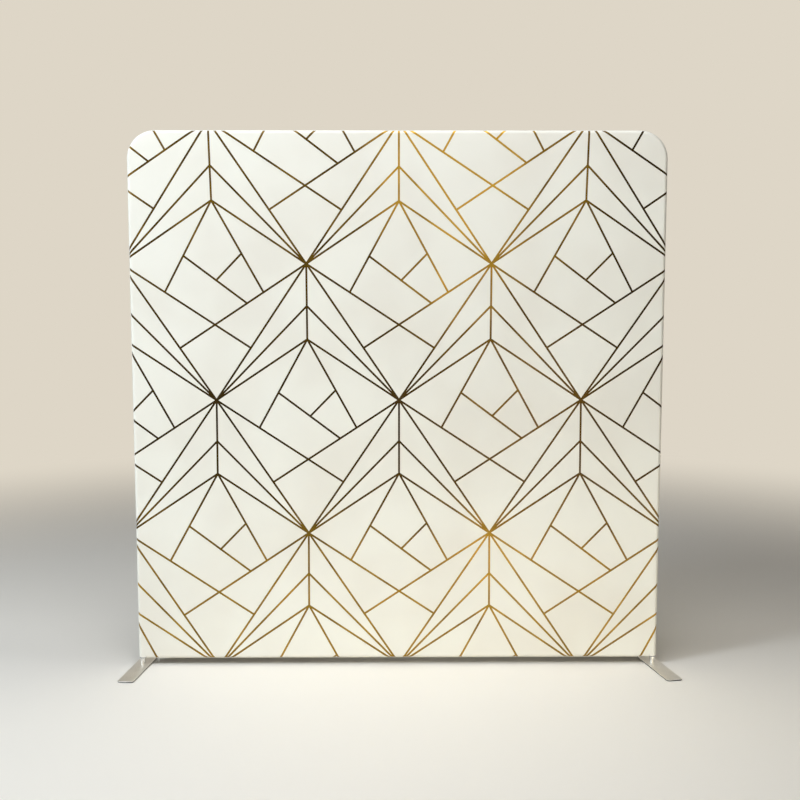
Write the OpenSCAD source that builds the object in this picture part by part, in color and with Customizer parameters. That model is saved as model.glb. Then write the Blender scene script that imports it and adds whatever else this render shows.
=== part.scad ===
// Fabric backdrop wall: a stretch cover over a snap-together tube frame on two swivelling flat feet.
// Millimetres. Z is up, the printed front faces -Y, and the origin is on the floor midway between the feet.

/* [Panel] */
// Width of the cover from side to side
panel_w = 2440; // [1800:10:3000]
// Height of the cover from the bottom hem to the top edge
panel_h = 2440; // [1800:10:2800]
// Outer radius of the two rounded top corners
corner_r = 128; // [90:1:250]
// Height of the bottom hem above the floor
hem_z = 34; // [32:1:60]

/* [Cover] */
// Thickness of the stretch fabric as drawn
cover_t = 0.8; // [0.6:0.1:1]
// Space between the fabric and the tubes
cover_gap = 0.5; // [0.4:0.1:0.8]
// Angle from the side of the bottom rail round to the edge of the zip tape
hem_angle = 63; // [60:1:66]

/* [Frame tubes] */
// Outer diameter of every frame tube
tube_d = 30; // [30:1:32]
// Wall of the frame tubes and of the fittings inside them
tube_wall = 1.5; // [1.5:0.1:1.6]
// Difference in diameter between a tube's bore and the fitting inside it
slip_fit = 0.1; // [0.06:0.02:0.2]
// Length of the straight leg at each end of a bent corner tube
corner_leg = 100; // [80:5:160]

/* [Fittings] */
// Depth that a fitting reaches into a tube
spigot_len = 60; // [55:1:75]
// Distance from the axis of a tee to the end of a tube on it
tee_reach = 22; // [22:1:30]
// Distance of a rivet from the joint between two tubes
rivet_z = 35; // [30:1:45]
// Shank diameter of a blind rivet
rivet_d = 4; // [3.2:0.1:4.8]
// Head diameter of a blind rivet
rivet_head_d = 7; // [6:0.5:9]

/* [Snap buttons] */
// Distance of a snap button from the joint between two tubes
button_z = 34; // [32:1:38]
// Diameter of a snap button
button_d = 8; // [7:0.1:8]
// Difference in diameter between a snap button and its hole
button_slip = 0.2; // [0.1:0.05:0.4]
// Height of a snap button's dome above the tube
button_proud = 3; // [2:0.1:3.5]
// Width of the leaf spring behind a snap button
leaf_w = 8; // [6:0.5:8]
// Thickness of the leaf spring
leaf_t = 0.8; // [0.5:0.1:0.8]

/* [Feet] */
// Length of a foot plate from front to back
foot_l = 500; // [300:10:700]
// Width of a foot plate
foot_w = 75; // [60:1:120]
// Thickness of a foot plate
foot_t = 5; // [4:0.5:6]
// Corner radius of a foot plate
foot_r = 14; // [8:1:25]
// Bevel round the top edge of a foot plate
foot_bevel = 1.6; // [1:0.1:2.5]
// Thickness of the rubber sole
sole_t = 1.5; // [1:0.1:3]
// Turn of the left foot away from the panel's square
left_splay = 6.5; // [-30:0.5:30]
// Turn of the right foot away from the panel's square
right_splay = 11; // [-30:0.5:30]
// Diameter of the part of the foot post that shows under the hem
post_d = 26; // [22:0.5:29]
// Diameter of the pin of the foot post that turns in the tee
pin_d = 20; // [16:0.5:22]
// Difference in diameter between that pin and its bore
pin_slip = 0.1; // [0.04:0.02:0.2]

/* [Zip] */
// Distance of the closed zip slider from the left edge of the cover
slider_inset = 92; // [60:1:600]
// Width of one row of zip coil
coil_w = 2.5; // [2:0.1:2.6]
// Length of the pull that hangs from the slider
pull_l = 15.5; // [12:0.5:17]
// Width of the pull
pull_w = 6.8; // [6.4:0.2:9]

/* [Build] */
// Fineness of the round faces in previews
$fn = 64; // [32:8:128]

/* [Hidden] */
// How far a cutting shape runs past the face that it cuts, and how far shapes that join run into each other
cut = 1;
eps = 0.01;
tube_r = tube_d / 2;
bore_r = tube_r - tube_wall;
spigot_r = bore_r - slip_fit / 2;
inner_r = spigot_r - tube_wall;
roll_r = tube_r + cover_gap;
skin_r = roll_r + cover_t;
post_x = panel_w / 2 - skin_r;
rail_z = hem_z + skin_r;
top_z = hem_z + panel_h - skin_r;
bend_r = corner_r - skin_r;
bend_x = post_x - bend_r;
bend_z = top_z - bend_r;
corner_x = bend_x - corner_leg;
corner_z = bend_z - corner_leg;
foot_z = rail_z + tee_reach;
upright_mid = (foot_z + corner_z) / 2;
pole_mid = (rail_z + top_z) / 2;
// Snap button and leaf spring: the two arms lie this far inside the wall of the fitting
button_arm_inset = 1.55;
back_arm_inset = 0.75;
leaf_top = inner_r - button_arm_inset;
leaf_low = inner_r - back_arm_inset;
leaf_tail = 24;
button_arm_end = 6;
back_arm_end = 2;
flange_t = 0.6;
flange_lip = 0.5;
// Blind rivet
rivet_slip = 0.1;
rivet_tail = 3;
rivet_bulge = 1.36;
rivet_head_edge = 0.4;
rivet_head_h = 1.5;
rivet_head_slope = 1.1;
// Tee body
boss_step = 0.5;
boss_r = tube_r - boss_step;
tee_web = 3;
tee_floor = 4;
// Foot
plate_top = sole_t + foot_t;
sole_inset = 1.5;
sole_hole_d = 19;
washer_t = 1;
washer_inset = 0.2;
washer_slip = 0.2;
post_edge = 0.8;
pin_lead = 1.5;
pin_reach = 54;
pin_top = hem_z + pin_reach;
pin_bore_top = pin_top + 4;
screw_d = 8;
screw_slip = 0.4;
thread_slip = 0.1;
screw_head_d = 15;
screw_head_h = 4.2;
screw_reach = 20;
hex_d = 5.8;
hex_h = 2.6;
// Zip levels, down from the underside of the bottom rail
slider_x = panel_w / 2 - slider_inset;
rail_gap = 0.3;
plate_gap = 0.2;
slider_hi = rail_z - tube_r - rail_gap;
slider_plate = 1;
tape_t = 0.6;
tape_lap = 0.1;
tape_flat = 4.95;
tape_fold = 0.25;
tape_tail = 12;
tape_hi = slider_hi - slider_plate - plate_gap;
tape_lo = tape_hi - tape_t;
coil_t = 1.8;
coil_lo = tape_lo - coil_t;
slider_lo = coil_lo - plate_gap - slider_plate;
slit = 1.3;
slider_l = 12;
slider_w = 8.4;
slider_r = 1.5;
web_l = 3;
web_w = 0.8;
rim_l = 8;
rim_w = 0.8;
rim_h = 1;
pivot_drop = 1.6;
pivot_z = slider_lo - pivot_drop;
pivot_d = 1.4;
pivot_slip = 0.1;
bridge_r = 1.75;
bridge_w = 3.2;
stop_l = 2.5;
stop_gap = 0.2;
coil_end = slider_x + slider_l / 2 + stop_gap;
tape_end = coil_end + stop_l + tape_tail;
pull_window = 4;
window_drop = 3.4;
pull_hole_d = 2.4;
// Bottom corners of the cover
leg_gap = 1.3;
leg_opening = skin_r + leg_gap;
roll_end = post_x - leg_opening;
flap_slit = 0.5;

alu = [0.78, 0.79, 0.80];
steel = [0.72, 0.71, 0.69];
white = [0.95, 0.95, 0.92];
dark = [0.12, 0.12, 0.12];
nylon = [0.88, 0.88, 0.86];

// ---- Placing: each joint's frame has +Z along the tube with the button and +X towards the frame's inside

module right() mirror([1, 0, 0]) children();

module at_upright() translate([-post_x, 0, upright_mid]) children();

module at_corner_side() translate([-post_x, 0, corner_z]) rotate([180, 0, 0]) children();

module at_corner_top() translate([-corner_x, 0, top_z]) rotate([0, 90, 0]) children();

module at_bottom_tee_upright() translate([-post_x, 0, foot_z]) children();

module at_bottom_tee_rail() translate([tee_reach - post_x, 0, rail_z]) rotate([180, -90, 0]) children();

module at_top_centre_rail() translate([tee_reach, 0, top_z]) rotate([0, 90, 0]) children();

module at_top_centre_pole() translate([0, 0, top_z - tee_reach]) rotate([180, 0, 0]) children();

module at_bottom_centre_rail() translate([tee_reach, 0, rail_z]) rotate([180, -90, 0]) children();

module at_bottom_centre_pole() translate([0, 0, foot_z]) children();

module at_pole() translate([0, 0, pole_mid]) children();

module at_left_foot() translate([-post_x, 0, 0]) rotate([0, 0, -left_splay]) children();

module at_right_foot() translate([post_x, 0, 0]) rotate([0, 0, right_splay]) children();

// ---- Tubes, couplers and their fasteners

module pipe(length, outer, inner) {
    difference() {
        cylinder(r = outer, h = length);
        translate([0, 0, -cut]) cylinder(r = inner, h = length + 2 * cut);
    }
}

module upright_pipe(x, z0, z1) translate([x, 0, z0]) pipe(z1 - z0, tube_r, bore_r);

module rail_pipe(x0, x1, z) translate([x0, 0, z]) rotate([0, 90, 0]) pipe(x1 - x0, tube_r, bore_r);

module side_hole(z, d) translate([inner_r / 2, 0, z]) rotate([0, 90, 0]) cylinder(d = d, h = tube_r);

module button_hole() side_hole(button_z, button_d + button_slip);

module rivet_hole(z) side_hole(z, rivet_d + rivet_slip);

module coupler() {
    difference() {
        translate([0, 0, -spigot_len]) pipe(2 * spigot_len, spigot_r, inner_r);
        button_hole();
        rivet_hole(-rivet_z);
    }
}

module button() {
    rise = tube_r + button_proud - button_d / 2;
    translate([0, 0, button_z]) rotate([0, 90, 0]) {
        translate([0, 0, leaf_top]) cylinder(r = button_d / 2 + flange_lip, h = flange_t);
        rotate_extrude() {
            translate([0, leaf_top]) square([button_d / 2, rise - leaf_top]);
            intersection() {
                translate([0, rise]) circle(d = button_d);
                translate([0, rise]) square([button_d, button_d]);
            }
        }
    }
}

module leaf_spring() {
    bend_out = (leaf_top + leaf_low) / 2;
    middle = (leaf_top - leaf_low) / 2;
    start = button_z - leaf_tail;
    rotate([90, 0, 0]) linear_extrude(height = leaf_w, center = true) {
        translate([leaf_top - leaf_t, start]) square([leaf_t, leaf_tail + button_arm_end]);
        translate([-leaf_low, start]) square([leaf_t, leaf_tail + back_arm_end]);
        difference() {
            translate([middle, start]) circle(r = bend_out);
            translate([middle, start]) circle(r = bend_out - leaf_t);
            translate([middle - 2 * bend_out, start]) square([4 * bend_out, 2 * bend_out]);
        }
    }
}

module rivet(z) {
    shank = rivet_d / 2;
    bulge = shank * rivet_bulge;
    head = rivet_head_d / 2;
    low = inner_r - rivet_tail / 8;
    translate([0, 0, z]) rotate([0, 90, 0]) rotate_extrude() polygon([
        [0, low - rivet_tail], [shank * 0.9, low - rivet_tail], [bulge, low - rivet_tail * 2 / 3],
        [bulge, low - rivet_tail / 5], [shank, low], [shank, tube_r],
        [head, tube_r], [head, tube_r + rivet_head_edge],
        [head - rivet_head_slope, tube_r + rivet_head_h - 0.2], [0, tube_r + rivet_head_h]
    ]);
}

// ---- Tees: a body between the tube ends, with a hollow spigot into each

module spigot(body_r) {
    translate([0, 0, -tee_reach]) cylinder(r = body_r, h = tee_reach);
    translate([0, 0, -tee_web]) cylinder(r = spigot_r, h = tee_web + spigot_len);
}

module spigot_bore() translate([0, 0, -tee_web]) cylinder(r = inner_r, h = tee_web + spigot_len + cut);

module left_bottom_tee_body() {
    difference() {
        union() {
            translate([-post_x, 0, hem_z]) cylinder(r = tube_r, h = foot_z - hem_z);
            at_bottom_tee_upright() translate([0, 0, -eps]) cylinder(r = spigot_r, h = spigot_len + eps);
            at_bottom_tee_rail() spigot(boss_r);
        }
        translate([-post_x, 0, hem_z - cut]) cylinder(d = pin_d + pin_slip, h = pin_bore_top - hem_z + cut);
        translate([-post_x, 0, pin_bore_top + tee_floor]) cylinder(r = inner_r, h = spigot_len);
        at_bottom_tee_upright() rivet_hole(rivet_z);
        at_bottom_tee_rail() spigot_bore();
        at_bottom_tee_rail() button_hole();
    }
}

module left_bottom_tee() color(alu) left_bottom_tee_body();

module right_bottom_tee() color(alu) right() left_bottom_tee_body();

module top_tee() color(alu) {
    difference() {
        union() {
            translate([-tee_reach, 0, top_z]) rotate([0, 90, 0]) cylinder(r = tube_r, h = 2 * tee_reach);
            translate([-tee_reach - spigot_len, 0, top_z]) rotate([0, 90, 0])
                cylinder(r = spigot_r, h = 2 * (tee_reach + spigot_len));
            at_top_centre_pole() spigot(boss_r);
        }
        at_top_centre_rail() spigot_bore();
        at_top_centre_rail() button_hole();
        right() at_top_centre_rail() spigot_bore();
        right() at_top_centre_rail() rivet_hole(rivet_z);
        at_top_centre_pole() spigot_bore();
        at_top_centre_pole() button_hole();
    }
}

module bottom_tee() color(alu) {
    difference() {
        union() {
            translate([-tee_reach, 0, rail_z]) rotate([0, 90, 0]) cylinder(r = tube_r, h = 2 * tee_reach);
            translate([-tee_reach - spigot_len, 0, rail_z]) rotate([0, 90, 0])
                cylinder(r = spigot_r, h = 2 * (tee_reach + spigot_len));
            at_bottom_centre_pole() spigot(boss_r);
        }
        at_bottom_centre_rail() spigot_bore();
        at_bottom_centre_rail() button_hole();
        right() at_bottom_centre_rail() spigot_bore();
        right() at_bottom_centre_rail() rivet_hole(rivet_z);
        at_bottom_centre_pole() spigot_bore();
        at_bottom_centre_pole() button_hole();
    }
}

// ---- Frame tubes

module lower_upright() {
    difference() {
        upright_pipe(-post_x, foot_z, upright_mid);
        at_bottom_tee_upright() rivet_hole(rivet_z);
        at_upright() rivet_hole(-rivet_z);
    }
}

module upper_upright() {
    difference() {
        upright_pipe(-post_x, upright_mid, corner_z);
        at_upright() button_hole();
        at_corner_side() button_hole();
    }
}

module corner_tube() {
    difference() {
        union() {
            upright_pipe(-post_x, corner_z, bend_z);
            rail_pipe(-bend_x, -corner_x, top_z);
            translate([-bend_x, 0, bend_z]) rotate([90, 0, 0]) rotate([0, 0, 90])
                rotate_extrude(angle = 90) translate([bend_r, 0]) difference() {
                    circle(r = tube_r);
                    circle(r = bore_r);
                }
        }
        at_corner_side() rivet_hole(-rivet_z);
        at_corner_top() rivet_hole(-rivet_z);
    }
}

module left_lower_upright() color(alu) lower_upright();

module right_lower_upright() color(alu) right() lower_upright();

module left_upper_upright() color(alu) upper_upright();

module right_upper_upright() color(alu) right() upper_upright();

module left_corner_tube() color(alu) corner_tube();

module right_corner_tube() color(alu) right() corner_tube();

module left_upright_coupler() color(alu) at_upright() coupler();

module right_upright_coupler() color(alu) right() at_upright() coupler();

module left_corner_side_coupler() color(alu) at_corner_side() coupler();

module right_corner_side_coupler() color(alu) right() at_corner_side() coupler();

module left_corner_top_coupler() color(alu) at_corner_top() coupler();

module right_corner_top_coupler() color(alu) right() at_corner_top() coupler();

module left_top_rail() color(alu) difference() {
    rail_pipe(-corner_x, -tee_reach, top_z);
    at_corner_top() button_hole();
    right() at_top_centre_rail() rivet_hole(rivet_z);
}

module right_top_rail() color(alu) difference() {
    rail_pipe(tee_reach, corner_x, top_z);
    right() at_corner_top() button_hole();
    at_top_centre_rail() button_hole();
}

module left_bottom_rail() color(alu) difference() {
    rail_pipe(tee_reach - post_x, -tee_reach, rail_z);
    at_bottom_tee_rail() button_hole();
    right() at_bottom_centre_rail() rivet_hole(rivet_z);
}

module right_bottom_rail() color(alu) difference() {
    rail_pipe(tee_reach, post_x - tee_reach, rail_z);
    right() at_bottom_tee_rail() button_hole();
    at_bottom_centre_rail() button_hole();
}

module lower_pole() color(alu) difference() {
    upright_pipe(0, foot_z, pole_mid);
    at_bottom_centre_pole() button_hole();
    at_pole() rivet_hole(-rivet_z);
}

module pole_coupler() color(alu) at_pole() coupler();

module upper_pole() color(alu) difference() {
    upright_pipe(0, pole_mid, top_z - tee_reach);
    at_pole() button_hole();
    at_top_centre_pole() button_hole();
}

// ---- Fasteners

module side_rivets() {
    at_bottom_tee_upright() rivet(rivet_z);
    at_upright() rivet(-rivet_z);
    at_corner_side() rivet(-rivet_z);
    at_corner_top() rivet(-rivet_z);
}

module rivets() color(steel) {
    side_rivets();
    right() side_rivets();
    right() at_top_centre_rail() rivet(rivet_z);
    right() at_bottom_centre_rail() rivet(rivet_z);
    at_pole() rivet(-rivet_z);
}

module side_springs() {
    at_upright() leaf_spring();
    at_corner_side() leaf_spring();
    at_corner_top() leaf_spring();
    at_bottom_tee_rail() leaf_spring();
}

module leaf_springs() color(steel) {
    side_springs();
    right() side_springs();
    at_top_centre_rail() leaf_spring();
    at_top_centre_pole() leaf_spring();
    at_bottom_centre_rail() leaf_spring();
    at_bottom_centre_pole() leaf_spring();
    at_pole() leaf_spring();
}

module left_upright_button() color(steel) at_upright() button();

module right_upright_button() color(steel) right() at_upright() button();

module left_corner_side_button() color(steel) at_corner_side() button();

module right_corner_side_button() color(steel) right() at_corner_side() button();

module left_corner_top_button() color(steel) at_corner_top() button();

module right_corner_top_button() color(steel) right() at_corner_top() button();

module left_bottom_rail_button() color(steel) at_bottom_tee_rail() button();

module right_bottom_rail_button() color(steel) right() at_bottom_tee_rail() button();

module top_tee_rail_button() color(steel) at_top_centre_rail() button();

module top_tee_pole_button() color(steel) at_top_centre_pole() button();

module bottom_tee_rail_button() color(steel) at_bottom_centre_rail() button();

module bottom_tee_pole_button() color(steel) at_bottom_centre_pole() button();

module pole_button() color(steel) at_pole() button();

// ---- Feet

module rounded_sheet(length, width, radius, height) {
    linear_extrude(height = height) {
        square([width - 2 * radius, length], center = true);
        square([width, length - 2 * radius], center = true);
        for (x = [-1, 1], y = [-1, 1])
            translate([x * (width / 2 - radius), y * (length / 2 - radius)]) circle(r = radius);
    }
}

module bevel_section(width) {
    half = width / 2;
    polygon([
        [-half, 0], [half, 0], [half, foot_t - foot_bevel],
        [half - foot_bevel, foot_t], [foot_bevel - half, foot_t], [-half, foot_t - foot_bevel]
    ]);
}

module foot_plate() {
    difference() {
        translate([0, 0, sole_t]) {
            rotate([90, 0, 0]) linear_extrude(height = foot_l - 2 * foot_r, center = true)
                bevel_section(foot_w);
            rotate([90, 0, 90]) linear_extrude(height = foot_w - 2 * foot_r, center = true)
                bevel_section(foot_l);
            for (x = [-1, 1], y = [-1, 1])
                translate([x * (foot_w / 2 - foot_r), y * (foot_l / 2 - foot_r), 0]) {
                    cylinder(r = foot_r, h = foot_t - foot_bevel);
                    translate([0, 0, foot_t - foot_bevel])
                        cylinder(r1 = foot_r, r2 = foot_r - foot_bevel, h = foot_bevel);
                }
        }
        translate([0, 0, sole_t - eps]) cylinder(d = screw_d + screw_slip, h = foot_t + cut);
        translate([0, 0, sole_t - eps])
            cylinder(d1 = screw_head_d + screw_slip, d2 = screw_d + screw_slip, h = screw_head_h + eps);
    }
}

module foot_sole() {
    difference() {
        rounded_sheet(foot_l - 2 * sole_inset, foot_w - 2 * sole_inset, foot_r - sole_inset, sole_t);
        translate([0, 0, -cut]) cylinder(d = sole_hole_d, h = sole_t + 2 * cut);
    }
}

module foot_post() {
    shoulder = hem_z - washer_t;
    outer = post_d / 2;
    pin = pin_d / 2;
    difference() {
        rotate_extrude() polygon([
            [0, plate_top], [outer, plate_top], [outer, shoulder - post_edge],
            [outer - post_edge, shoulder], [pin, shoulder], [pin, pin_top - pin_lead],
            [pin - pin_lead, pin_top], [0, pin_top]
        ]);
        translate([0, 0, plate_top - cut]) cylinder(d = screw_d + thread_slip, h = screw_reach + 2 * cut);
    }
}

module foot_screw() {
    difference() {
        union() {
            translate([0, 0, sole_t]) cylinder(d1 = screw_head_d, d2 = screw_d, h = screw_head_h);
            translate([0, 0, sole_t + screw_head_h - cut])
                cylinder(d = screw_d, h = plate_top + screw_reach - sole_t - screw_head_h);
        }
        translate([0, 0, sole_t - cut]) cylinder(d = hex_d, h = hex_h + cut, $fn = 6);
    }
}

module foot_washer() {
    translate([0, 0, hem_z - washer_t]) difference() {
        cylinder(r = post_d / 2 - washer_inset, h = washer_t);
        translate([0, 0, -cut]) cylinder(d = pin_d + washer_slip, h = washer_t + 2 * cut);
    }
}

module left_foot_plate() color(steel) at_left_foot() foot_plate();

module left_foot_sole() color(dark) at_left_foot() foot_sole();

module left_foot_post() color(steel) at_left_foot() foot_post();

module left_foot_screw() color(steel) at_left_foot() foot_screw();

module left_foot_washer() color(nylon) at_left_foot() foot_washer();

module right_foot_plate() color(steel) at_right_foot() foot_plate();

module right_foot_sole() color(dark) at_right_foot() foot_sole();

module right_foot_post() color(steel) at_right_foot() foot_post();

module right_foot_screw() color(steel) at_right_foot() foot_screw();

module right_foot_washer() color(nylon) at_right_foot() foot_washer();

// ---- Cover: each half is one sheet, flat between the tubes and rolled half round them

module front_quarter() {
    intersection() {
        difference() {
            circle(r = skin_r);
            circle(r = roll_r);
        }
        translate([-2 * skin_r, 0]) square([2 * skin_r, 2 * skin_r]);
    }
}

module flat_outline() {
    translate([-post_x, rail_z]) square([2 * post_x, bend_z - rail_z]);
    translate([-bend_x, bend_z - eps]) square([2 * bend_x, bend_r + eps]);
    for (x = [-bend_x, bend_x]) translate([x, bend_z]) circle(r = bend_r);
    for (x = [-post_x, post_x - leg_opening + flap_slit])
        translate([x, hem_z]) square([leg_opening - flap_slit, rail_z - hem_z + eps]);
}

module side_roll() {
    translate([-post_x, 0, hem_z]) linear_extrude(height = bend_z - hem_z)
        mirror([0, 1]) front_quarter();
    translate([-bend_x, 0, bend_z]) rotate([90, 0, 0]) rotate([0, 0, 90]) rotate_extrude(angle = 90)
        translate([bend_r, 0]) mirror([1, 0]) front_quarter();
}

module bottom_roll() {
    translate([0, 0, rail_z]) rotate([90, 0, 90]) linear_extrude(height = 2 * roll_end, center = true)
        difference() {
            mirror([0, 1]) front_quarter();
            rotate(hem_angle - 180) square([2 * skin_r, 3 * skin_r]);
        }
}

module cover_half() {
    translate([0, -roll_r, 0]) rotate([90, 0, 0]) linear_extrude(height = cover_t) flat_outline();
    side_roll();
    right() side_roll();
    translate([0, 0, top_z]) rotate([90, 0, 90]) linear_extrude(height = 2 * bend_x, center = true)
        front_quarter();
    bottom_roll();
}

module cover_front() color(white) cover_half();

module cover_back() color(white) mirror([0, 1, 0]) cover_half();

// ---- Zip in the bottom hem

module tape_section() {
    far = hem_angle + 180;
    upper = roll_r + tape_lap;
    lower = skin_r - tape_lap;
    polygon([
        [cos(far) * upper, rail_z + sin(far) * upper], [cos(far) * lower, rail_z + sin(far) * lower],
        [-tape_flat, tape_lo], [-slit / 2, tape_lo], [-slit / 2, tape_hi], [tape_fold - tape_flat, tape_hi]
    ]);
}

module zip_tapes() color(white) {
    for (m = [0, 1])
        mirror([0, m, 0]) rotate([90, 0, 90]) linear_extrude(height = 2 * tape_end, center = true)
            tape_section();
}

module zip_coils() color(nylon) {
    for (m = [0, 1])
        mirror([0, m, 0]) translate([-coil_end, -slit / 2 - coil_w, coil_lo])
            cube([2 * coil_end, coil_w, coil_t]);
}

module zip_stops() color(steel) {
    for (m = [0, 1])
        mirror([m, 0, 0]) translate([coil_end, -slit / 2 - coil_w, coil_lo])
            cube([stop_l, slit + 2 * coil_w, coil_t]);
}

module slider_outline() {
    square([slider_l - 2 * slider_r, slider_w], center = true);
    square([slider_l, slider_w - 2 * slider_r], center = true);
    for (x = [-1, 1], y = [-1, 1])
        translate([x * (slider_l / 2 - slider_r), y * (slider_w / 2 - slider_r)]) circle(r = slider_r);
}

module zip_slider() color(white) translate([-slider_x, 0, 0]) {
    mid = slider_plate / 2;
    difference() {
        union() {
            translate([0, 0, slider_lo]) linear_extrude(height = slider_plate) slider_outline();
            translate([0, 0, slider_hi - slider_plate]) linear_extrude(height = slider_plate)
                slider_outline();
            translate([web_w - slider_l / 2, -web_w / 2, slider_lo + mid])
                cube([web_l, web_w, slider_hi - slider_lo - slider_plate]);
            for (m = [0, 1])
                mirror([0, m, 0]) translate([-rim_l / 2, slider_w / 2 - rim_w, slider_lo + mid])
                    cube([rim_l, rim_w, mid + rim_h]);
            rotate([90, 0, 0]) linear_extrude(height = bridge_w, center = true) {
                translate([0, pivot_z]) circle(r = bridge_r);
                translate([-bridge_r, pivot_z]) square([2 * bridge_r, pivot_drop + mid]);
            }
        }
        translate([0, 0, pivot_z]) rotate([90, 0, 0])
            cylinder(d = pivot_d + pivot_slip, h = 2 * bridge_w, center = true);
    }
}

module pull_outline() {
    low = pivot_z - pull_l;
    half = pull_w / 2;
    difference() {
        union() {
            translate([-half, low + half]) square([pull_w, pull_l - half]);
            translate([0, low + half]) circle(r = half);
        }
        translate([-pull_window / 2, pivot_z - window_drop]) square(pull_window);
        translate([0, low + half]) circle(d = pull_hole_d);
    }
}

module zip_pull() color(white) translate([-slider_x, 0, 0]) {
    rotate([90, 0, 90]) linear_extrude(height = pivot_d - pivot_slip, center = true) pull_outline();
    translate([0, 0, pivot_z]) rotate([90, 0, 0]) cylinder(d = pivot_d, h = pull_w, center = true);
}

left_foot_plate();
left_foot_sole();
left_foot_post();
left_foot_screw();
left_foot_washer();
right_foot_plate();
right_foot_sole();
right_foot_post();
right_foot_screw();
right_foot_washer();
left_bottom_tee();
right_bottom_tee();
left_lower_upright();
right_lower_upright();
left_upright_coupler();
right_upright_coupler();
left_upper_upright();
right_upper_upright();
left_corner_side_coupler();
right_corner_side_coupler();
left_corner_tube();
right_corner_tube();
left_corner_top_coupler();
right_corner_top_coupler();
left_top_rail();
top_tee();
right_top_rail();
left_bottom_rail();
bottom_tee();
right_bottom_rail();
lower_pole();
pole_coupler();
upper_pole();
rivets();
leaf_springs();
left_upright_button();
right_upright_button();
left_corner_side_button();
right_corner_side_button();
left_corner_top_button();
right_corner_top_button();
left_bottom_rail_button();
right_bottom_rail_button();
top_tee_rail_button();
top_tee_pole_button();
bottom_tee_rail_button();
bottom_tee_pole_button();
pole_button();
cover_front();
cover_back();
zip_tapes();
zip_coils();
zip_stops();
zip_slider();
zip_pull();
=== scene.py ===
import math
from functools import partial

import bmesh
import bpy
from bpy.props import FloatProperty, FloatVectorProperty, PointerProperty
from bpy.types import Node, NodeSocket, Operator, Panel, PropertyGroup
from mathutils import Matrix, Vector
from mathutils.geometry import delaunay_2d_cdt


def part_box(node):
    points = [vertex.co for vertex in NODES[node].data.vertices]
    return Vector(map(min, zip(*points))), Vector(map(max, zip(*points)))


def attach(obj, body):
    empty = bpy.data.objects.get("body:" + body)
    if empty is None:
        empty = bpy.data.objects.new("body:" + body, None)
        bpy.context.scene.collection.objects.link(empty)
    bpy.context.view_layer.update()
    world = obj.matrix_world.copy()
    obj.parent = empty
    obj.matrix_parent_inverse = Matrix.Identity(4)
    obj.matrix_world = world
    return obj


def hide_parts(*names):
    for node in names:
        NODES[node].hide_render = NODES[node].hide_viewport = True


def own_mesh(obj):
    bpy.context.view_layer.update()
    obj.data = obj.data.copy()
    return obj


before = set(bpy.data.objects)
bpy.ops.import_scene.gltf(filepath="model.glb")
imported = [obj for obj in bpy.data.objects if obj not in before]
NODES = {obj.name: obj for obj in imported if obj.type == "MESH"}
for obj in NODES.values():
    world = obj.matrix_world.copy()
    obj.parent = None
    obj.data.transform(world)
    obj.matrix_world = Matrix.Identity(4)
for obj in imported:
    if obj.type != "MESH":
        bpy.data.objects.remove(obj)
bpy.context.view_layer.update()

bl_info = {
    "name": "Display Backwall",
    "version": (1, 0, 0),
    "blender": (4, 5, 0),
    "location": "3D View > Sidebar > Backwall",
    "description": "Dresses a stretch cover display wall: printed cloth, zip, feet and tube frame",
    "category": "Object",
}

MM = 0.001
ROOT = "frame_and_cover"
SMOOTH = {"interpolation_type": "SMOOTHSTEP"}

# ---- Measures of the cover and the tubes in it, in metres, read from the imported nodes

COVER_LOW, COVER_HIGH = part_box("cover_front")
SKIN = -COVER_LOW.y  # radius of the cover round a tube
POST_X = COVER_HIGH.x - SKIN  # axes of the uprights, the bottom rail and the top rail
HEM_Z = COVER_LOW.z
RAIL_Z = HEM_Z + SKIN
TOP_Z = COVER_HIGH.z - SKIN
BEND_R = 128 * MM - SKIN  # axis of a corner tube, and its centre
BEND_X = POST_X - BEND_R
BEND_Z = TOP_Z - BEND_R
ROLL = SKIN * math.pi / 2  # cloth in a quarter turn round a tube
ROLL_END = POST_X - SKIN - 1.3 * MM  # the hem is slit here, beside the post of the foot
FLAP_X = ROLL_END + 0.5 * MM  # where the flap past the slit starts, and its lower edge
FLAP_Z = HEM_Z + 5 * MM
HEM_TURN = SKIN * math.radians(63)  # cloth from the side of the bottom rail to the zip tape
VALLEY = 1.2 * MM  # width of the dip in the cloth on each side of the seam
DRAWN_X, DRAWN_Z = 1.35, 2.6  # the drawings on the flat cloth end here, past its edges
PULL_X, PULL_Z, PULL_MIDDLE = 1.2, 1.22, 1.24  # half width, half height and middle of the pulled print
ROLL_STEPS = 12  # of the mesh in a quarter turn round a tube, and along a top corner
ARC_STEPS = 24


def linear(code):
    """An sRGB hex colour as the linear colour that a shader takes."""
    parts = [int(code[i:i + 2], 16) / 255 for i in (1, 3, 5)]
    return tuple(c / 12.92 if c <= 0.04045 else ((c + 0.055) / 1.055) ** 2.4 for c in parts) + (1.0,)


def colour(name, description, code):
    return FloatVectorProperty(
        name=name, description=description, subtype="COLOR", size=4, min=0, max=1, default=linear(code)
    )


def number(name, description, value, unit="LENGTH"):
    return FloatProperty(name=name, description=description, default=value, unit=unit)


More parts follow.
